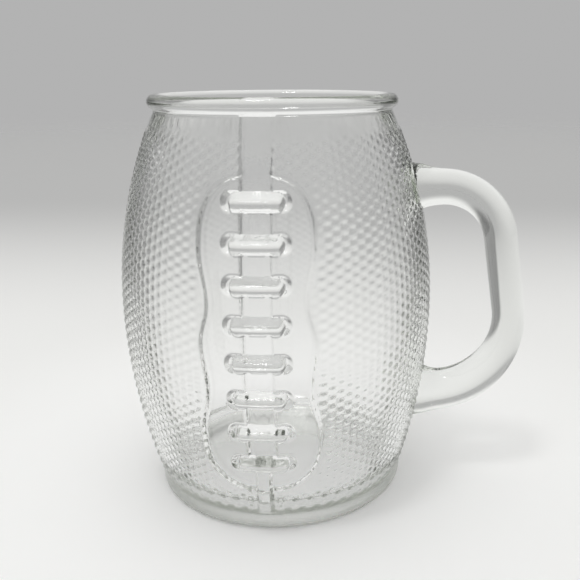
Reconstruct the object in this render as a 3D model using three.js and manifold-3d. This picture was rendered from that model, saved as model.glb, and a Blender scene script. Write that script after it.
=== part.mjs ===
// Glass beer mug in the shape of a laced leather ball: a moulded body and a handle fused to its side.
// Millimetres, +Z up. The mug stands on z = 0, its laces face -Y and its handle reaches towards +X.
import * as THREE from "three";
import { mergeVertices } from "three/addons/utils/BufferGeometryUtils.js";
import Module from "manifold-3d";

const wasm = await Module();
wasm.setup();

// Barrel: two arcs that meet at the belly, with one wall thickness
const mugHeight = 140;
const bellyRadius = 54.8;
const bellyHeight = 68;
const lowerArcRadius = 210;
const upperArcRadius = 159.5;
const wallThickness = 3.6;

// Rim bead, rolled outwards above a shallow neck groove
const beadRadius = 2.45;
const beadInset = 0.5;
const neckGroove = 0.9;
const beadStartAngle = -60;

// Foot and floor
const footFlare = 0.75;
const footHeight = 4;
const footTaperHeight = 2;
const heelRadius = 1.2;
const standingRingWidth = 7;
const recessDepth = 0.8;
const recessDraft = 2;
const floorThickness = 5;
const floorFillet = 15;

// Smooth panel round the laces, sunk into the wall: a scalloped outline with three lobes and two waists
const panelDepth = 0.6;
const panelTop = 118.4;
const panelBottom = 17.3;
const upperLobe = { height: 98, halfWidth: 17.7 };
const upperWaist = { height: 81.5, halfWidth: 15.4 };
const middleLobe = { height: 68.5, halfWidth: 18 };
const lowerWaist = { height: 53.5, halfWidth: 16.4 };
const lowerLobe = { height: 38.5, halfWidth: 19 };
const panelEndExponent = 2.5;

// Centre strip, sunk deeper than the panel along the laces and shallower up to the neck, with a seam ridge
const stripWidth = 10.8;
const stripDepth = 1.5;
const stripEndMargin = 5;
const neckStripDepth = 0.4;
const seamWidth = 4.6;
const seamDepth = 1.25;

// Laces: round-ended bars bent round the barrel across the strip, each over a sunk eyelet
const laceCount = 8;
const topLaceHeight = 111;
const lacePitch = 12;
const laceLength = 17.6;
const laceHalfHeight = 2.9;
const laceRise = 1.6;
const laceHalfDepth = 2.2;
const eyeletLength = 21.2;
const eyeletHalfHeight = 3.3;
const eyeletDepth = 1.7;

// How far the layers cut from the wall reach out past it
const cutClearance = 1;

// Handle: two arms, two bends and a leaning grip, in the plane of X and Z
const upperArmHeight = 108.5;
const lowerArmHeight = 31.7;
const gripReach = 84;
const gripLean = 9.2;
const upperBendRadius = 20.6;
const lowerBendRadius = 28;
const gripHalfThickness = 5.8;
const upperArmHalfThickness = 6.2;
const lowerArmHalfThickness = 7.6;
const handleHalfWidth = 7;
const upperPadSwell = 2.4;
const lowerPadSwell = 3;
const padLength = 12;
const padClearance = 0.3;

// Facets
const roundSegments = 72;
const heelSteps = 4;
const barrelSteps = 14;
const beadSteps = 8;
const cavitySteps = 10;
const floorFilletSteps = 6;
const panelSteps = 36;
const outlineSegments = 6;
const laceEndSteps = 4;
const laceBendSteps = 4;
const laceSides = 14;
const handleSides = 22;
const handleRings = 44;
const mergeTolerance = 1e-4;

// Radius of the barrel's outer surface at a height
function barrelRadius(z) {
  const arcRadius = z < bellyHeight ? lowerArcRadius : upperArcRadius;
  const sagitta = arcRadius - Math.sqrt(arcRadius ** 2 - (z - bellyHeight) ** 2);
  return bellyRadius - sagitta;
}

// Heights and radii that follow from the sizes above
const barrelBottom = footHeight + footTaperHeight;
const beadHeight = mugHeight - beadRadius;
const neckHeight = beadHeight - beadRadius - neckGroove;
const footRadius = barrelRadius(barrelBottom) + footFlare;
const beadCentreRadius = barrelRadius(neckHeight) - beadInset;

// Points of a circular or elliptical arc in the profile plane, angles in degrees
function arcPoints(centre, radius, from, to, steps) {
  return Array.from({ length: steps + 1 }, (_, i) => {
    const angle = THREE.MathUtils.degToRad(THREE.MathUtils.lerp(from, to, i / steps));
    return new THREE.Vector2(centre.x + radius * Math.cos(angle), centre.y + radius * Math.sin(angle));
  });
}

// Profile points along the barrel, a distance out from its surface
function barrelPoints(offset, from, to, steps) {
  return Array.from({ length: steps + 1 }, (_, i) => {
    const z = THREE.MathUtils.lerp(from, to, i / steps);
    return new THREE.Vector2(barrelRadius(z) + offset, z);
  });
}

// A closed geometry as a solid, with shared vertices merged
function solid(geometry) {
  const bare = new THREE.BufferGeometry();
  bare.setAttribute("position", geometry.getAttribute("position"));
  bare.setIndex(geometry.getIndex());
  const merged = mergeVertices(bare, mergeTolerance);
  const mesh = new wasm.Mesh({
    numProp: 3,
    vertProperties: new Float32Array(merged.getAttribute("position").array),
    triVerts: new Uint32Array(merged.getIndex().array),
  });
  return new wasm.Manifold(mesh);
}

// A solid of revolution about Z from a profile of radius and height
function turned(profile) {
  return solid(new THREE.LatheGeometry(profile, roundSegments).rotateX(Math.PI / 2));
}

// A solid back as a geometry for a mesh
function geometryOf(shape) {
  const { vertProperties, triVerts } = shape.getMesh();
  const geometry = new THREE.BufferGeometry();
  geometry.setAttribute("position", new THREE.BufferAttribute(vertProperties, 3));
  geometry.setIndex(new THREE.BufferAttribute(triVerts, 1));
  const faceted = geometry.toNonIndexed();
  faceted.computeVertexNormals();
  return faceted;
}

// The whole turned shape: underside, foot, barrel, bead, inner wall and floor
function turnedBody() {
  const ringOuter = footRadius - heelRadius;
  const ringInner = ringOuter - standingRingWidth;
  const wallFoot = floorThickness + floorFillet;
  const cornerRadius = barrelRadius(wallFoot) - wallThickness - floorFillet;
  return turned([
    new THREE.Vector2(0, recessDepth),
    new THREE.Vector2(ringInner - recessDraft, recessDepth),
    new THREE.Vector2(ringInner, 0),
    ...arcPoints(new THREE.Vector2(ringOuter, heelRadius), heelRadius, -90, 0, heelSteps),
    new THREE.Vector2(footRadius, footHeight),
    ...barrelPoints(0, barrelBottom, neckHeight, barrelSteps),
    ...arcPoints(new THREE.Vector2(beadCentreRadius, beadHeight), beadRadius, beadStartAngle, 180, beadSteps),
    ...barrelPoints(-wallThickness, neckHeight, wallFoot, cavitySteps),
    ...arcPoints(new THREE.Vector2(cornerRadius, wallFoot), floorFillet, 0, -90, floorFilletSteps).slice(1),
    new THREE.Vector2(0, floorThickness),
  ]);
}

// A layer of the barrel wall between two offsets from its surface, inside an outline seen from the front
function wallLayer(inside, outside, outline) {
  const outer = barrelPoints(outside, barrelBottom, neckHeight, barrelSteps);
  const inner = barrelPoints(inside, neckHeight, barrelBottom, barrelSteps);
  const ring = turned([...outer, ...inner, outer[0].clone()]);
  const settings = { depth: 2 * bellyRadius, bevelEnabled: false, curveSegments: outlineSegments };
  const front = new THREE.ExtrudeGeometry(outline, settings);
  return ring.intersect(solid(front.rotateX(Math.PI / 2)));
}

// The layer to cut away where the wall is sunk
function sunkLayer(depth, outline) {
  return wallLayer(-depth, cutClearance, outline);
}

// Half width of the panel: superelliptic ends, and cosine waves between lobes and waists
function panelHalfWidth(z) {
  const stations = [upperLobe, upperWaist, middleLobe, lowerWaist, lowerLobe];
  if (z > upperLobe.height) return endHalfWidth(upperLobe, panelTop, z);
  if (z < lowerLobe.height) return endHalfWidth(lowerLobe, panelBottom, z);
  const next = Math.max(stations.findIndex((station) => station.height <= z), 1);
  const below = stations[next];
  const above = stations[next - 1];
  const share = (z - below.height) / (above.height - below.height);
  const wave = (1 - Math.cos(Math.PI * share)) / 2;
  return THREE.MathUtils.lerp(below.halfWidth, above.halfWidth, wave);
}

function endHalfWidth(lobe, end, z) {
  const share = Math.min(Math.abs((z - lobe.height) / (end - lobe.height)), 1);
  return lobe.halfWidth * (1 - share ** panelEndExponent) ** (1 / panelEndExponent);
}

function panelOutline() {
  const side = Array.from({ length: panelSteps + 1 }, (_, i) => {
    const share = (1 - Math.cos((Math.PI * i) / panelSteps)) / 2;
    const z = THREE.MathUtils.lerp(panelBottom, panelTop, share);
    return new THREE.Vector2(panelHalfWidth(z), z);
  });
  const otherSide = side.slice(1, -1).reverse();
  return new THREE.Shape([...side, ...otherSide.map((point) => new THREE.Vector2(-point.x, point.y))]);
}

// A straight upright band
function bandOutline(width, bottom, top) {
  const half = width / 2;
  return new THREE.Shape([
    new THREE.Vector2(-half, bottom),
    new THREE.Vector2(half, bottom),
    new THREE.Vector2(half, top),
    new THREE.Vector2(-half, top),
  ]);
}

// A level bar with round ends
function barOutline(length, halfHeight, z) {
  const straight = length / 2 - halfHeight;
  const shape = new THREE.Shape();
  shape.absarc(straight, z, halfHeight, -Math.PI / 2, Math.PI / 2, false);
  shape.absarc(-straight, z, halfHeight, Math.PI / 2, (3 * Math.PI) / 2, false);
  return shape;
}

// Tube between two ends, lofted through rings of equal point count
function loft(rings) {
  const sides = rings[0].length;
  const points = rings.flat();
  const index = [];
  for (let i = 0; i + 1 < rings.length; i++) {
    for (let j = 0; j < sides; j++) {
      const a = i * sides + j;
      const b = i * sides + ((j + 1) % sides);
      index.push(a, b + sides, b, a, a + sides, b + sides);
    }
  }
  const last = points.length - sides;
  for (let j = 1; j + 1 < sides; j++) {
    index.push(0, j, j + 1);
    index.push(last, last + j + 1, last + j);
  }
  const geometry = new THREE.BufferGeometry().setFromPoints(points);
  geometry.setIndex(index);
  return solid(geometry);
}

// One lace: an oval bar bent round the barrel, closing to a round end on each side
function lace(z) {
  const radius = barrelRadius(z) + laceRise - laceHalfDepth;
  const straight = laceLength / 2 - laceHalfHeight;
  const end = Array.from({ length: laceEndSteps }, (_, i) => {
    const turn = (i / laceEndSteps) * (Math.PI / 2);
    return { along: straight + laceHalfHeight * Math.sin(turn), swell: Math.cos(turn) };
  });
  const otherEnd = end.map(({ along, swell }) => ({ along: -along, swell })).reverse();
  const middle = Array.from({ length: laceBendSteps - 1 }, (_, i) => {
    return { along: THREE.MathUtils.lerp(-straight, straight, (i + 1) / laceBendSteps), swell: 1 };
  });
  const stations = [...otherEnd, ...middle, ...end];
  return loft(stations.map(({ along, swell }) => laceRing(radius, along / radius, z, swell)));
}

function laceRing(radius, bearing, z, swell) {
  return Array.from({ length: laceSides }, (_, j) => {
    const angle = (2 * Math.PI * j) / laceSides;
    const out = radius + laceHalfDepth * swell * Math.cos(angle);
    const up = z + laceHalfHeight * swell * Math.sin(angle);
    return new THREE.Vector3(out * Math.sin(bearing), -out * Math.cos(bearing), up);
  });
}

function mugBody() {
  const heights = Array.from({ length: laceCount }, (_, i) => topLaceHeight - i * lacePitch);
  const stripTop = topLaceHeight + stripEndMargin;
  const stripBottom = heights[laceCount - 1] - stripEndMargin;
  let body = turnedBody();
  body = body.subtract(sunkLayer(panelDepth, panelOutline()));
  body = body.subtract(sunkLayer(neckStripDepth, bandOutline(stripWidth, stripTop, neckHeight)));
  body = body.subtract(sunkLayer(stripDepth, bandOutline(stripWidth, stripBottom, stripTop)));
  for (const z of heights) {
    body = body.subtract(sunkLayer(eyeletDepth, barOutline(eyeletLength, eyeletHalfHeight, z)));
  }
  body = body.add(wallLayer(-wallThickness / 2, -seamDepth, bandOutline(seamWidth, stripBottom, stripTop)));
  for (const z of heights) {
    body = body.add(lace(z));
  }
  return body;
}

// Centre line of the handle from inside the upper wall to inside the lower wall
function handlePath() {
  const lean = THREE.MathUtils.degToRad(gripLean);
  const lowerCentre = new THREE.Vector2(gripReach - lowerBendRadius, lowerArmHeight + lowerBendRadius);
  const upperCentreHeight = upperArmHeight - upperBendRadius;
  const rise = upperCentreHeight - lowerCentre.y;
  const shift = (lowerBendRadius - upperBendRadius - rise * Math.sin(lean)) / Math.cos(lean);
  const upperCentre = new THREE.Vector2(lowerCentre.x + shift, upperCentreHeight);
  const path = new THREE.Path();
  path.moveTo(barrelRadius(upperArmHeight) - wallThickness, upperArmHeight);
  path.lineTo(upperCentre.x, upperArmHeight);
  path.absarc(upperCentre.x, upperCentre.y, upperBendRadius, Math.PI / 2, lean, true);
  path.absarc(lowerCentre.x, lowerCentre.y, lowerBendRadius, lean, -Math.PI / 2, true);
  path.lineTo(barrelRadius(lowerArmHeight) - wallThickness, lowerArmHeight);
  return path;
}

// Swell of the section towards a pad, as a fillet that fades out along the arm from the barrel's surface
function padShare(distance) {
  const share = THREE.MathUtils.clamp((distance - wallThickness) / padLength, 0, 1);
  return (1 - share) ** 2;
}

function handle() {
  const path = handlePath();
  const length = path.getLength();
  const rings = Array.from({ length: handleRings + 1 }, (_, i) => {
    const share = i / handleRings;
    const centre = path.getPointAt(share);
    const tangent = path.getTangentAt(share);
    const upperSwell = upperPadSwell * padShare(share * length);
    const lowerSwell = lowerPadSwell * padShare((1 - share) * length);
    const armHalfThickness = tangent.x > 0 ? upperArmHalfThickness : lowerArmHalfThickness;
    const plain = THREE.MathUtils.lerp(gripHalfThickness, armHalfThickness, tangent.x ** 2);
    const thickness = plain + upperSwell + lowerSwell;
    const width = handleHalfWidth + (upperSwell + lowerSwell) / 2;
    return Array.from({ length: handleSides }, (_, j) => {
      const angle = (2 * Math.PI * j) / handleSides;
      const across = thickness * Math.cos(angle);
      return new THREE.Vector3(
        centre.x - tangent.y * across,
        width * Math.sin(angle),
        centre.y + tangent.x * across,
      );
    });
  });
  const barrel = barrelPoints(padClearance, barrelBottom, neckHeight, barrelSteps);
  const cutter = turned([new THREE.Vector2(0, barrelBottom), ...barrel, new THREE.Vector2(0, neckHeight)]);
  return loft(rings).subtract(cutter);
}

// One clear soda-lime glass for both pieces
const glass = new THREE.MeshStandardMaterial({ color: 0xe6ece8, roughness: 0.05, metalness: 0 });

function named(name, shape) {
  const mesh = new THREE.Mesh(geometryOf(shape), glass);
  mesh.name = name;
  return mesh;
}

const mug = new THREE.Group();
mug.add(named("mug_body", mugBody()));
mug.add(named("handle", handle()));

export default mug;
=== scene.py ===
# Glass beer mug in the shape of a laced ball: one fused piece of clear glass on a pale table
import math

import bmesh
import bpy
from mathutils import Matrix, Vector


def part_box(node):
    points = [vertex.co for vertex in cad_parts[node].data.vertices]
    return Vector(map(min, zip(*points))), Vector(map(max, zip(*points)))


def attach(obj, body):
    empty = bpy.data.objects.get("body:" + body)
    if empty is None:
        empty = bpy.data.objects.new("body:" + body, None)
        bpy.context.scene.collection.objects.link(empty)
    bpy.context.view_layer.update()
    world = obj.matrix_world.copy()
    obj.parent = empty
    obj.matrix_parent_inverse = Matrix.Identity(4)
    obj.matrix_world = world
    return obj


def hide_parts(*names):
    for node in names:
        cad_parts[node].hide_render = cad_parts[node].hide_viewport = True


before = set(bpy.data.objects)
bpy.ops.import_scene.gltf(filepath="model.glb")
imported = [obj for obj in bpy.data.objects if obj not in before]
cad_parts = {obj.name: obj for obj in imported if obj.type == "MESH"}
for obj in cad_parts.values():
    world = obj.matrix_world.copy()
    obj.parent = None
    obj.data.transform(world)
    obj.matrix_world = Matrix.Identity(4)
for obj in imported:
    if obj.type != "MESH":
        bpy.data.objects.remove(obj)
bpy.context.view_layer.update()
bodyLow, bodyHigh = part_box("mug_body")
print("frame loaded:", sorted(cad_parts))

mm = 0.001
mergeDistance = 0.01 * mm
heightSlack = 0.1 * mm

# Barrel, rim and foot of the turned body
body = {
    "height": bodyHigh.z,
    "bellyRadius": -bodyLow.x,
    "bellyHeight": 68 * mm,
    "lowerArc": 210 * mm,
    "upperArc": 159.5 * mm,
    "wall": 3.6 * mm,
    "beadRadius": 2.45 * mm,
    "beadInset": 0.5 * mm,
    "neckGroove": 0.6 * mm,
    "footFlare": 0.3 * mm,
    "footHeight": 4 * mm,
    "footTaper": 1.5 * mm,
    "heelRadius": 2.4 * mm,
    "standingRing": 7 * mm,
    "recess": 0.8 * mm,
    "recessDraft": 2 * mm,
    "floor": 5 * mm,
    "floorFillet": 13 * mm,
    "lipStart": -72,
    "outerRows": 156,
    "innerRows": 10,
    "spinSteps": 360,
    "heelSteps": 4,
    "beadSteps": 12,
    "filletSteps": 6,
    "sharpAngle": 50,
}
barrelBottom = body["footHeight"] + body["footTaper"]
beadHeight = body["height"] - body["beadRadius"]
neckHeight = beadHeight - body["beadRadius"] - body["neckGroove"]

# Smooth panel with three lobes, given as height and half width from the top down
panel = {
    "level": -1.2 * mm,
    "edge": 0.9 * mm,
    "margin": 1.7 * mm,
    "top": 118.4 * mm,
    "bottom": 17.3 * mm,
    "lobes": [(98 * mm, 17.7 * mm), (81.5 * mm, 15.4 * mm), (68.5 * mm, 18 * mm),
              (53.5 * mm, 16.4 * mm), (38.5 * mm, 19 * mm)],
    "endPower": 2.5,
    "fineMargin": 1 * mm,
}

# Sunk strip down the middle of the panel, shallower where it runs on up to the neck
strip = {
    "halfWidth": 5.4 * mm,
    "level": -2.7 * mm,
    "bankRun": 0.85,
    "neckLevel": -1.2 * mm,
    "neckFrom": 114 * mm,
    "neckTo": 124 * mm,
    "end": 27 * mm,
}

# Low ridge along the strip, taller below the last lace
seam = {"halfWidth": 2.3 * mm, "rise": 0.25 * mm, "footRise": 2.2 * mm, "edge": 1 * mm}

# Rounded laces across the strip, placed from the top one down
laces = {
    "count": 8,
    "top": 111 * mm,
    "pitch": 12 * mm,
    "halfLength": 8.9 * mm,
    "halfHeight": 2.9 * mm,
    "lift": -0.2 * mm,
    "level": 1.4 * mm,
    "wall": 2.9 * mm,
    "roundness": 2.2,
    "fineMargin": 1.2 * mm,
}

# Hollows that the laces lie in, shallower along the lower side
eyelets = {
    "halfLength": 11 * mm,
    "halfHeight": 3.4 * mm,
    "lift": 0.1 * mm,
    "depth": 1.8 * mm,
    "bank": 1.4 * mm,
    "lip": 3.3 * mm,
    "lean": 2.4 * mm,
}

# Domed grain of the barrel, lower round the back
pebbles = {
    "columns": 120,
    "pitch": 3.15 * mm,
    "height": 0.72 * mm,
    "fullness": 0.6,
    "from": 6.5 * mm,
    "to": 130 * mm,
    "fade": 2 * mm,
    "midLevel": 0.4,
    "backShare": 0.2,
    "backFrom": 1.8,
    "backRun": 0.6,
}


def barrelRadius(z):
    arc = body["lowerArc"] if z < body["bellyHeight"] else body["upperArc"]
    return body["bellyRadius"] - arc + math.sqrt(arc ** 2 - (z - body["bellyHeight"]) ** 2)


def clamp(share):
    return min(max(share, 0), 1)


def ease(share):
    share = clamp(share)
    return share * share * (3 - 2 * share)


def ramp(inset, edge):  # 0 outside an outline, 1 inside it, soft over the edge's width
    return ease(inset / edge + 0.5)


def panelHalfWidth(z):
    lobes = panel["lobes"]
    for (lobeHeight, lobeWidth), end in ((lobes[0], panel["top"]), (lobes[-1], panel["bottom"])):
        share = (z - lobeHeight) / (end - lobeHeight)
        if share > 0:
            return lobeWidth * max(1 - share ** panel["endPower"], 0) ** (1 / panel["endPower"])
    for (highZ, highWidth), (lowZ, lowWidth) in zip(lobes, lobes[1:]):
        if z >= lowZ:
            wave = (1 - math.cos(math.pi * (z - lowZ) / (highZ - lowZ))) / 2
            return lowWidth + (highWidth - lowWidth) * wave
    return lobes[-1][1]


def panelInset(z, arc):  # distance inside the outline, to first order
    if z > panel["top"] or z < panel["bottom"]:
        return -math.hypot(arc, max(z - panel["top"], panel["bottom"] - z))
    probe = 0.2 * mm
    slope = (panelHalfWidth(z + probe) - panelHalfWidth(z - probe)) / (2 * probe)
    return (panelHalfWidth(z) - abs(arc)) / math.hypot(1, slope)


def barInset(z, arc, bar):  # distance inside the nearest bar, and height above its middle
    nearest = round((laces["top"] - z) / laces["pitch"])
    nearest = min(max(nearest, 0), laces["count"] - 1)
    up = z - bar["lift"] - (laces["top"] - nearest * laces["pitch"])
    along = max(abs(arc) - (bar["halfLength"] - bar["halfHeight"]), 0)
    return bar["halfHeight"] - math.hypot(along, up), up


def dome(z, bearing):  # hexagonal field of domes, from 0 in the valleys to 1 on the tops
    column = bearing * pebbles["columns"] / (2 * math.pi)
    row = z / pebbles["pitch"]
    waves = (column, row - column / 2, row + column / 2)
    field = sum(math.cos(2 * math.pi * wave) for wave in waves)
    lowest, highest = -1.5, 3  # range of the three cosines together
    return max((field - lowest) / (highest - lowest), 0) ** pebbles["fullness"]


def relief(z, bearing):  # how far the outer wall stands off the plain barrel
    arc = bearing * barrelRadius(z)
    intoPanel = panelInset(z, arc)
    intoLace, _ = barInset(z, arc, laces)
    intoEyelet, up = barInset(z, arc, eyelets)
    toNeck = ease((z - strip["neckFrom"]) / (strip["neckTo"] - strip["neckFrom"]))
    toFoot = ease((strip["end"] - z) / laces["halfHeight"])
    base = panel["level"] * clamp(intoPanel / panel["edge"] + 0.5)
    intoStrip = min(strip["halfWidth"] - abs(arc), z - strip["end"])
    deep = base - strip["level"] - (strip["neckLevel"] - strip["level"]) * toNeck
    inStrip = clamp(intoStrip / (strip["bankRun"] * deep))
    lean = clamp((up + eyelets["lip"]) / eyelets["lean"])
    base -= max(deep * inStrip, eyelets["depth"] * lean * clamp(intoEyelet / eyelets["bank"]))
    aboveFoot = ease((z - pebbles["from"]) / pebbles["fade"])
    ridge = (seam["rise"] + (seam["footRise"] - seam["rise"]) * toFoot) * aboveFoot
    base += ridge * clamp((seam["halfWidth"] - abs(arc)) / seam["edge"] + 0.5)
    onLace = 1 - (1 - clamp(intoLace / laces["wall"])) ** laces["roundness"]
    base += (laces["level"] - base) * onLace
    besideSeam = ramp(seam["halfWidth"] + panel["margin"] - abs(arc), panel["edge"])
    grain = 1 - max(ramp(intoPanel + panel["margin"], panel["edge"]), inStrip, besideSeam)
    grain *= aboveFoot * ease((pebbles["to"] - z) / pebbles["fade"])
    toBack = ease((abs(bearing) - pebbles["backFrom"]) / pebbles["backRun"])
    grain *= 1 - (1 - pebbles["backShare"]) * toBack
    return base + pebbles["height"] * grain * (dome(z, bearing) - pebbles["midLevel"])


def drawTo(bm, tip, r, z):  # carries the profile on to its next corner
    tip = bmesh.ops.extrude_vert_indiv(bm, verts=[tip])["verts"][0]
    tip.co = (r, 0, z)
    return tip


def turnRound(bm, tip, r, z, degrees, steps):  # carries the profile on round an arc
    made = bmesh.ops.spin(bm, geom=[tip], cent=(r, 0, z), axis=(0, -1, 0),
                          angle=math.radians(degrees), steps=steps)
    return next(item for item in made["geom_last"] if isinstance(item, bmesh.types.BMVert))


def turnedProfile(bm):  # from under the floor, up the outside, over the rim and down inside
    footRadius = barrelRadius(barrelBottom) + body["footFlare"]
    ringOuter = footRadius - body["heelRadius"]
    ringInner = ringOuter - body["standingRing"]
    beadCentre = barrelRadius(neckHeight) - body["beadInset"]
    lip = math.radians(body["lipStart"])
    wallFoot = body["floor"] + body["floorFillet"]
    cornerRadius = barrelRadius(wallFoot) - body["wall"] - body["floorFillet"]
    tip = bm.verts.new((0, 0, body["recess"]))
    tip = drawTo(bm, tip, ringInner - body["recessDraft"], body["recess"])
    tip = drawTo(bm, tip, ringInner, 0)
    tip = drawTo(bm, tip, ringOuter, 0)
    tip = turnRound(bm, tip, ringOuter, body["heelRadius"], 90, body["heelSteps"])
    tip = drawTo(bm, tip, footRadius, body["footHeight"])
    for i in range(body["outerRows"] + 1):
        z = barrelBottom + (neckHeight - barrelBottom) * i / body["outerRows"]
        tip = drawTo(bm, tip, barrelRadius(z), z)
    lipRadius = beadCentre + body["beadRadius"] * math.cos(lip)
    lipHeight = beadHeight + body["beadRadius"] * math.sin(lip)
    tip = drawTo(bm, tip, lipRadius, lipHeight)
    tip = turnRound(bm, tip, beadCentre, beadHeight, 180 - body["lipStart"], body["beadSteps"])
    for i in range(body["innerRows"] + 1):
        z = neckHeight + (wallFoot - neckHeight) * i / body["innerRows"]
        tip = drawTo(bm, tip, barrelRadius(z) - body["wall"], z)
    tip = turnRound(bm, tip, cornerRadius, wallFoot, -90, body["filletSteps"])
    drawTo(bm, tip, 0, body["floor"])


def onOuterWall(vert):
    if not barrelBottom - heightSlack < vert.co.z < neckHeight + heightSlack:
        return False
    return abs(math.hypot(vert.co.x, vert.co.y) - barrelRadius(vert.co.z)) < body["wall"] / 4


def bearingOf(co):  # angle round the mug, 0 at the laces and growing towards the handle
    return math.atan2(co.x, -co.y)


def inPanelArea(vert):
    margin = panel["fineMargin"]
    arc = abs(bearingOf(vert.co)) * barrelRadius(vert.co.z)
    inSpan = panel["bottom"] - margin < vert.co.z < panel["top"] + margin
    return arc < strip["halfWidth"] + margin or inSpan and arc < panelHalfWidth(vert.co.z) + margin


def inLadderArea(vert):
    margin = laces["fineMargin"]
    arc = abs(bearingOf(vert.co)) * barrelRadius(vert.co.z)
    low = laces["top"] - (laces["count"] - 1) * laces["pitch"] - eyelets["halfHeight"]
    inSpan = low - margin < vert.co.z < laces["top"] + eyelets["halfHeight"] + margin
    return inSpan and arc < eyelets["halfLength"] + margin


def edgesWithin(bm, inArea):  # edges of the outer wall with both ends in the area
    fine = {vert for vert in bm.verts if onOuterWall(vert) and inArea(vert)}
    return [edge for edge in bm.edges if edge.verts[0] in fine and edge.verts[1] in fine]


def isLevel(edge):
    return abs(edge.verts[0].co.z - edge.verts[1].co.z) < mergeDistance


def bodyMesh():
    bm = bmesh.new()
    turnedProfile(bm)
    geom = bm.verts[:] + bm.edges[:]
    bmesh.ops.spin(bm, geom=geom, cent=(0, 0, 0), axis=(0, 0, 1), angle=2 * math.pi,
                   steps=body["spinSteps"], use_merge=True)
    bmesh.ops.remove_doubles(bm, verts=bm.verts, dist=mergeDistance)
    edges = edgesWithin(bm, inPanelArea)
    bmesh.ops.subdivide_edges(bm, edges=edges, cuts=1, use_grid_fill=True)
    edges = [edge for edge in edgesWithin(bm, inLadderArea) if isLevel(edge)]
    bmesh.ops.subdivide_edges(bm, edges=edges, cuts=1, use_grid_fill=True)
    for vert in bm.verts:
        if onOuterWall(vert):
            bearing = bearingOf(vert.co)
            radius = barrelRadius(vert.co.z) + relief(vert.co.z, bearing)
            vert.co.x = radius * math.sin(bearing)
            vert.co.y = -radius * math.cos(bearing)
    bmesh.ops.recalc_face_normals(bm, faces=bm.faces)
    return bm


# Handle: two arms, two bends and a leaning grip in the XZ plane
handle = {
    "upperArm": 108.5 * mm,
    "lowerArm": 31.7 * mm,
    "reach": 84 * mm,
    "lean": math.radians(9.2),
    "upperBend": 20.6 * mm,
    "lowerBend": 28 * mm,
    "gripHalfThickness": 5.8 * mm,
    "upperHalfThickness": 6.2 * mm,
    "lowerHalfThickness": 7.6 * mm,
    "halfWidth": 7 * mm,
    "upperPadSwell": 2.4 * mm,
    "lowerPadSwell": 3 * mm,
    "padSpread": 0.1,
    "padLength": 13 * mm,
    "padPower": 3,
    "sunkInWall": 1.6 * mm,
    "squareness": 2.15,
    "sides": 36,
    "step": 2 * mm,
}


def handleStops():  # centre points and directions, from the upper pad to the lower one
    lean, upper, lower = handle["lean"], handle["upperBend"], handle["lowerBend"]
    lowerCentre = Vector((handle["reach"] - lower, 0, handle["lowerArm"] + lower))
    upperCentre = Vector((0, 0, handle["upperArm"] - upper))
    rise = upperCentre.z - lowerCentre.z
    upperCentre.x = lowerCentre.x + (lower - upper - rise * math.sin(lean)) / math.cos(lean)
    outward = Vector((math.cos(lean), 0, math.sin(lean)))
    upperStart = Vector((barrelRadius(handle["upperArm"]), 0, handle["upperArm"]))
    upperEnd = Vector((upperCentre.x, 0, handle["upperArm"]))
    lowerStart = Vector((lowerCentre.x, 0, handle["lowerArm"]))
    lowerEnd = Vector((barrelRadius(handle["lowerArm"]), 0, handle["lowerArm"]))
    runs = [
        (upperStart, upperEnd),
        (upperCentre, upper, math.pi / 2, lean),
        (upperCentre + outward * upper, lowerCentre + outward * lower),
        (lowerCentre, lower, lean, -math.pi / 2),
        (lowerStart, lowerEnd),
    ]
    stops = []
    for run in runs:
        if len(run) == 2:
            start, end = run
            count = max(round((end - start).length / handle["step"]), 1)
            stops += [(start.lerp(end, i / count), (end - start).normalized()) for i in range(count)]
        else:
            centre, radius, first, last = run
            count = round(abs(last - first) * radius / handle["step"])
            for i in range(count):
                angle = first + (last - first) * i / count
                spoke = Vector((math.cos(angle), 0, math.sin(angle)))
                stops.append((centre + spoke * radius, Vector((spoke.z, 0, -spoke.x))))
    stops.append((lowerEnd, Vector((-1, 0, 0))))
    return stops


def swellAt(distance, swell):
    return swell * (1 - min(distance / handle["padLength"], 1)) ** handle["padPower"]


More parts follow.
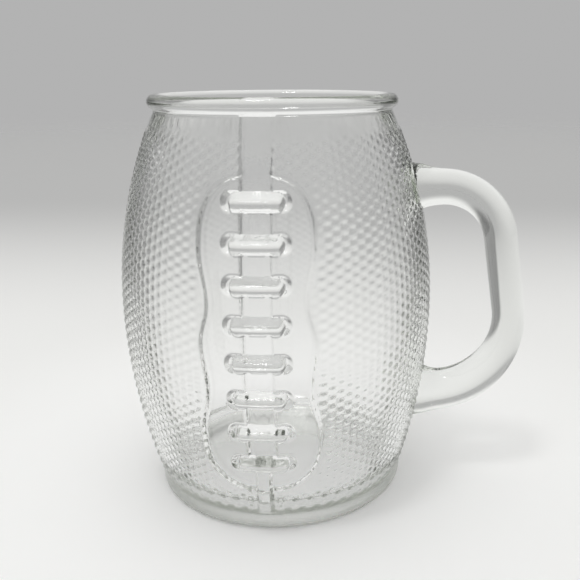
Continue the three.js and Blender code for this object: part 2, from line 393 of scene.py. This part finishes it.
def handleMesh():
    bm = bmesh.new()
    stops = handleStops()
    lengths = [0]
    for (here, _), (there, _) in zip(stops, stops[1:]):
        lengths.append(lengths[-1] + (there - here).length)
    ring = bmesh.ops.create_circle(bm, cap_ends=False, radius=1, segments=handle["sides"])["verts"]
    angles = [math.atan2(vert.co.y, vert.co.x) for vert in ring]
    edges = bm.edges[:]
    rings = [ring]
    for _ in stops[1:]:
        made = bmesh.ops.extrude_edge_only(bm, edges=edges)["geom"]
        edges = [item for item in made if isinstance(item, bmesh.types.BMEdge) and
                 all(vert not in rings[-1] for vert in item.verts)]
        onward = {edge.other_vert(vert): vert for vert in rings[-1] for edge in vert.link_edges
                  if edge.other_vert(vert) in made}
        below = {old: new for new, old in onward.items()}
        rings.append([below[vert] for vert in rings[-1]])
    power = handle["squareness"]
    for ring, (centre, along), length in zip(rings, stops, lengths):
        swell = swellAt(length, handle["upperPadSwell"])
        swell += swellAt(lengths[-1] - length, handle["lowerPadSwell"])
        flat = along.x ** 2
        arm = handle["upperHalfThickness"] if along.x > 0 else handle["lowerHalfThickness"]
        thick = handle["gripHalfThickness"] * (1 - flat) + arm * flat + swell
        wide = handle["halfWidth"] + swell * handle["padSpread"]
        across = Vector((-along.z, 0, along.x))
        for vert, angle in zip(ring, angles):
            cosine, sine = math.cos(angle), math.sin(angle)
            bulge = (abs(cosine) ** power + abs(sine) ** power) ** (-1 / power)
            vert.co = centre + across * (thick * cosine * bulge)
            vert.co.y += wide * sine * bulge
    for vert in rings[0] + rings[-1]:  # the ends follow the wall that they are fused into
        sunk = barrelRadius(vert.co.z) - handle["sunkInWall"]
        vert.co.x = math.sqrt(sunk ** 2 - vert.co.y ** 2)
    bmesh.ops.holes_fill(bm, edges=bm.edges, sides=0)
    bmesh.ops.recalc_face_normals(bm, faces=bm.faces)
    return bm


def newObject(name, bm):
    mesh = bpy.data.meshes.new(name)
    bm.to_mesh(mesh)
    bm.free()
    piece = bpy.data.objects.new(name, mesh)
    bpy.context.scene.collection.objects.link(piece)
    return piece


def fusedMug():
    mug = newObject("mug", bodyMesh())
    arm = newObject("arm", handleMesh())
    print("body faces:", len(mug.data.polygons), "handle faces:", len(arm.data.polygons))
    weld = mug.modifiers.new("weld", "BOOLEAN")
    weld.operation = "UNION"
    weld.solver = "EXACT"
    weld.object = arm
    graph = bpy.context.evaluated_depsgraph_get()
    fused = bpy.data.meshes.new_from_object(mug.evaluated_get(graph))
    mug.modifiers.clear()
    mug.data = fused
    bpy.data.objects.remove(arm)
    fused.polygons.foreach_set("use_smooth", [True] * len(fused.polygons))
    fused.set_sharp_from_angle(angle=math.radians(body["sharpAngle"]))
    return mug


# A node socket that takes part in Python expressions
class Wire:
    def __init__(self, tree, socket=None):
        self.tree = tree
        self.socket = socket

    def node(self, kind, settings=None, out=0, **inputs):
        made = self.tree.nodes.new(kind)
        for name, value in (settings or {}).items():
            setattr(made, name, value)
        for name, value in inputs.items():
            key = int(name[1:]) if name[0] == "_" else name.replace("_", " ")
            socket = made.inputs[key]
            if isinstance(value, Wire):
                self.tree.links.new(value.socket, socket)
            else:
                socket.default_value = value
        return Wire(self.tree, made.outputs[out] if made.outputs else None)

    def math(self, operation, other, swapped=False):
        first, second = (other, self) if swapped else (self, other)
        return self.node("ShaderNodeMath", {"operation": operation}, _0=first, _1=second)

    def axis(self, vector, index):
        return self.node("ShaderNodeSeparateXYZ", out=index, Vector=vector)

    def mix(self, first, second, share):
        return self.node("ShaderNodeMix", {"data_type": "RGBA"}, out=2, _0=share, _6=first, _7=second)

    def between(self, value, start, end):
        return self.node("ShaderNodeMapRange", {"interpolation_type": "SMOOTHSTEP"}, Value=value,
                         From_Min=start, From_Max=end)

    def __add__(self, other):
        return self.math("ADD", other)

    __radd__ = __add__

    def __sub__(self, other):
        return self.math("SUBTRACT", other)

    def __rsub__(self, other):
        return self.math("SUBTRACT", other, swapped=True)

    def __mul__(self, other):
        return self.math("MULTIPLY", other)

    __rmul__ = __mul__


def newMaterial(name):
    material = bpy.data.materials.new(name)
    material.use_nodes = True
    material.node_tree.nodes.clear()
    return material, Wire(material.node_tree)


# Clear glass, a little hazy, with a stippled underside and fine drawn lines in the strip
glass = {
    "tint": (1, 1, 1, 1),
    "depthColour": (0.9, 0.91, 0.89, 1),
    "depthDensity": 66,
    "ior": 1.51,
    "roughness": 0.012,
    "haze": 0.02,
    "hazeScale": 60,
    "waveScale": 45,
    "waveDepth": 0.05 * mm,
    "stipple": 0.3,
    "stippleFrom": 0.5 * mm,
    "stippleTo": 5 * mm,
    "lineScale": (900, 900, 12),
    "lineDepth": 0.12 * mm,
    "lineEdge": 1 * mm,
}


def clearGlass():
    material, wire = newMaterial("clear_glass")
    place = wire.node("ShaderNodeTexCoord", out="Object")
    across, depth, height = (wire.axis(place, index) for index in range(3))
    clouds = wire.node("ShaderNodeTexNoise", Vector=place, Scale=glass["hazeScale"], Detail=3)
    under = 1 - wire.between(height, glass["stippleFrom"], glass["stippleTo"])
    rough = glass["roughness"] + glass["haze"] * clouds + glass["stipple"] * under
    waves = wire.node("ShaderNodeTexNoise", Vector=place, Scale=glass["waveScale"], Detail=1)
    drawn = wire.node("ShaderNodeVectorMath", {"operation": "MULTIPLY"}, _0=place,
                      _1=glass["lineScale"])
    lines = wire.node("ShaderNodeTexNoise", Vector=drawn, Scale=1, Detail=2)
    aside = wire.node("ShaderNodeMath", {"operation": "ABSOLUTE"}, _0=across)
    outside = wire.between(aside, strip["halfWidth"] - glass["lineEdge"], strip["halfWidth"])
    onFront = wire.between(depth * -1, 0, glass["lineEdge"])
    inStrip = (1 - outside) * onFront
    bumps = glass["waveDepth"] * waves + glass["lineDepth"] * lines * inStrip
    bump = wire.node("ShaderNodeBump", Strength=1, Distance=1, Height=bumps)
    shader = wire.node("ShaderNodeBsdfPrincipled", Base_Color=glass["tint"], Roughness=rough,
                       IOR=glass["ior"], Transmission_Weight=1, Normal=bump)
    inside = wire.node("ShaderNodeVolumeAbsorption", Color=glass["depthColour"],
                       Density=glass["depthDensity"])
    wire.node("ShaderNodeOutputMaterial", Surface=shader, Volume=inside)
    return material


# Pale table, clear far out, with painted light and shade: greyer towards the back as painted shade, a
# painted pool of light round the mug against its shadow, and, seen only through glass, dark
# painted-shade sides and a painted glow
table = {
    "size": 4,
    "drop": 0.2 * mm,
    "near": (0.86, 0.86, 0.85, 1),
    # painted light: a brighter pool on the table close round the mug that lifts the mug's contact
    # shadow
    "middle": (0.98, 0.98, 0.975, 1),
    "middleFrom": 0.055,
    "middleTo": 0.2,
    # painted shade: the table is greyer towards the back, standing in for the background falling into
    # shade
    "back": (0.475, 0.475, 0.475, 1),
    # painted shade: dark zones left and right behind the mug, seen only through the glass, standing
    # in for shaded room sides
    "side": (0.26, 0.26, 0.26, 1),
    "backFrom": 0.06,
    "backTo": 0.6,
    "rightFrom": 0.115,
    "rightTo": 0.145,
    "rightSlant": 0.294,
    "leftFrom": 0.11,
    "leftTo": 0.135,
    "leftSlant": 0.525,
    "sideFrom": -0.06,
    "sideTo": 0,
    "endFrom": 0.8,
    "endTo": 2.5,
    "roughness": 0.7,
    # painted light: share and strength of the glow the table gives off where it is seen through
    # glass, lifting the mug's shadow
    "paintedGlowShare": 0.55,
    "paintedGlowLevel": 0.94,
}


def tableTop():
    bm = bmesh.new()
    bmesh.ops.create_grid(bm, x_segments=1, y_segments=1, size=table["size"])
    bmesh.ops.translate(bm, vec=(0, 0, -table["drop"]), verts=bm.verts)
    top = newObject("table_top", bm)
    material, wire = newMaterial("pale_table_painted_light_and_shade")
    place = wire.node("ShaderNodeTexCoord", out="Object")
    across = wire.axis(place, 0)
    depth = wire.axis(place, 1)
    # painted shade: greyer towards the back of the table
    back = wire.between(depth, table["backFrom"], table["backTo"])
    # painted shade: dark zones left and right behind the mug that only rays through the glass see
    right = wire.between(across - depth * table["rightSlant"], table["rightFrom"], table["rightTo"])
    left = wire.between(across * -1 - depth * table["leftSlant"], table["leftFrom"], table["leftTo"])
    seenThrough = wire.node("ShaderNodeLightPath", out="Is Transmission Ray")
    behind = wire.between(depth, table["sideFrom"], table["sideTo"])
    side = (right + left) * behind * seenThrough
    away = wire.node("ShaderNodeVectorMath", {"operation": "LENGTH"}, out="Value", _0=place)
    # painted light: the pool is brightest close round the mug and fades out to the near colour
    outOfPaintedPool = wire.between(away, table["middleFrom"], table["middleTo"])
    near = wire.mix(table["middle"], table["near"], outOfPaintedPool)
    colour = wire.mix(wire.mix(near, table["back"], back), table["side"], side)
    end = wire.between(away, table["endFrom"], table["endTo"])
    lit = wire.node("ShaderNodeBsdfPrincipled", Base_Color=colour, Roughness=table["roughness"],
                    Alpha=1 - end)
    # painted light: seen through glass the table partly glows at its own colour, which lifts the
    # mug's shadow on it
    paintedGlow = wire.node("ShaderNodeEmission", Color=colour, Strength=table["paintedGlowLevel"])
    paintedGlowMix = seenThrough * table["paintedGlowShare"] * (1 - end)
    shader = wire.node("ShaderNodeMixShader", _0=paintedGlowMix, _1=lit, _2=paintedGlow)
    wire.node("ShaderNodeOutputMaterial", Surface=shader)
    top.data.materials.append(material)


# Grey room under a bright ceiling, with dark sides that the camera itself does not see, and one lamp
room = {
    "back": (0.45, 0.45, 0.45, 1),
    "right": (0.18, 0.18, 0.18, 1),
    "left": (0.29, 0.29, 0.29, 1),
    "front": (0.85, 0.85, 0.85, 1),
    "ceiling": (0.93, 0.93, 0.92, 1),
    "rightFrom": 0.29,
    "rightTo": 0.5,
    "leftFrom": 0.47,
    "leftTo": 0.6,
    "sideFrom": -0.3,
    "sideTo": 0.1,
    "frontFrom": 0.1,
    "frontTo": 0.6,
    "ceilingFrom": 0.1,
    "ceilingTo": 0.4,
}
lamp = {"place": (-0.15, -0.25, 1.05), "size": 0.16, "power": 1.2}


def studioLight():
    world = bpy.data.worlds.new("room")
    bpy.context.scene.world = world
    world.use_nodes = True
    world.node_tree.nodes.clear()
    wire = Wire(world.node_tree)
    way = wire.node("ShaderNodeTexCoord", out="Generated")
    across = wire.axis(way, 0)
    ahead = wire.axis(way, 1) * -1
    behind = 1 - wire.between(ahead, room["sideFrom"], room["sideTo"])
    seen = wire.node("ShaderNodeLightPath", out="Is Camera Ray")
    unseen = (1 - seen) * behind
    right = wire.between(across, room["rightFrom"], room["rightTo"]) * unseen
    left = wire.between(across * -1, room["leftFrom"], room["leftTo"]) * unseen
    colour = wire.mix(wire.mix(room["back"], room["right"], right), room["left"], left)
    toFront = wire.between(ahead, room["frontFrom"], room["frontTo"])
    colour = wire.mix(colour, room["front"], toFront)
    high = wire.between(wire.axis(way, 2), room["ceilingFrom"], room["ceilingTo"])
    colour = wire.mix(colour, room["ceiling"], high)
    wire.node("ShaderNodeOutputWorld", Surface=wire.node("ShaderNodeBackground", Color=colour))
    data = bpy.data.lights.new("lamp", "AREA")
    data.size = lamp["size"]
    data.energy = lamp["power"]
    light = bpy.data.objects.new("lamp", data)
    light.location = lamp["place"]
    light.rotation_euler = Vector(lamp["place"]).to_track_quat("Z", "Y").to_euler()
    bpy.context.scene.collection.objects.link(light)


# Light bends many times in thick glass
bounces = {"max_bounces": 32, "glossy_bounces": 16, "transmission_bounces": 32}


def longPaths():
    for name, count in bounces.items():
        setattr(bpy.context.scene.cycles, name, count)


# Camera found from the outline of the barrel in the photograph
camera = {
    "bearing": 7.19,
    "distance": 251.57 * mm,
    "height": 147.47 * mm,
    "heading": 3.0,
    "pitch": 16.93,
    "roll": -0.23,
    "lens": 44.39,
    "sensor": 36,
    "clipStart": 0.01,
    "shift": (-0.0665, -0.0049),
}


def photoCamera():
    data = bpy.data.cameras.new("camera")
    data.sensor_width = camera["sensor"]
    data.lens = camera["lens"]
    data.shift_x, data.shift_y = camera["shift"]
    data.clip_start = camera["clipStart"]
    eye = bpy.data.objects.new("camera", data)
    bearing = math.radians(camera["bearing"])
    place = Vector((math.sin(bearing), -math.cos(bearing), 0)) * camera["distance"]
    place.z = camera["height"]
    turn = Matrix.Rotation(math.radians(camera["heading"]), 4, "Z")
    tilt = Matrix.Rotation(math.radians(90 - camera["pitch"]), 4, "X")
    roll = Matrix.Rotation(math.radians(camera["roll"]), 4, "Z")
    eye.matrix_world = Matrix.Translation(place) @ turn @ tilt @ roll
    bpy.context.scene.collection.objects.link(eye)
    bpy.context.scene.camera = eye


photoCamera()
mug = fusedMug()
mug.data.materials.clear()
mug.data.materials.append(clearGlass())
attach(mug, "root")
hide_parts("mug_body", "handle")
mug.data.calc_loop_triangles()
print("mug triangles:", len(mug.data.loop_triangles))
tableTop()
studioLight()
longPaths()
print("table, room and lamp placed")
bpy.context.scene.view_settings.view_transform = "Standard"
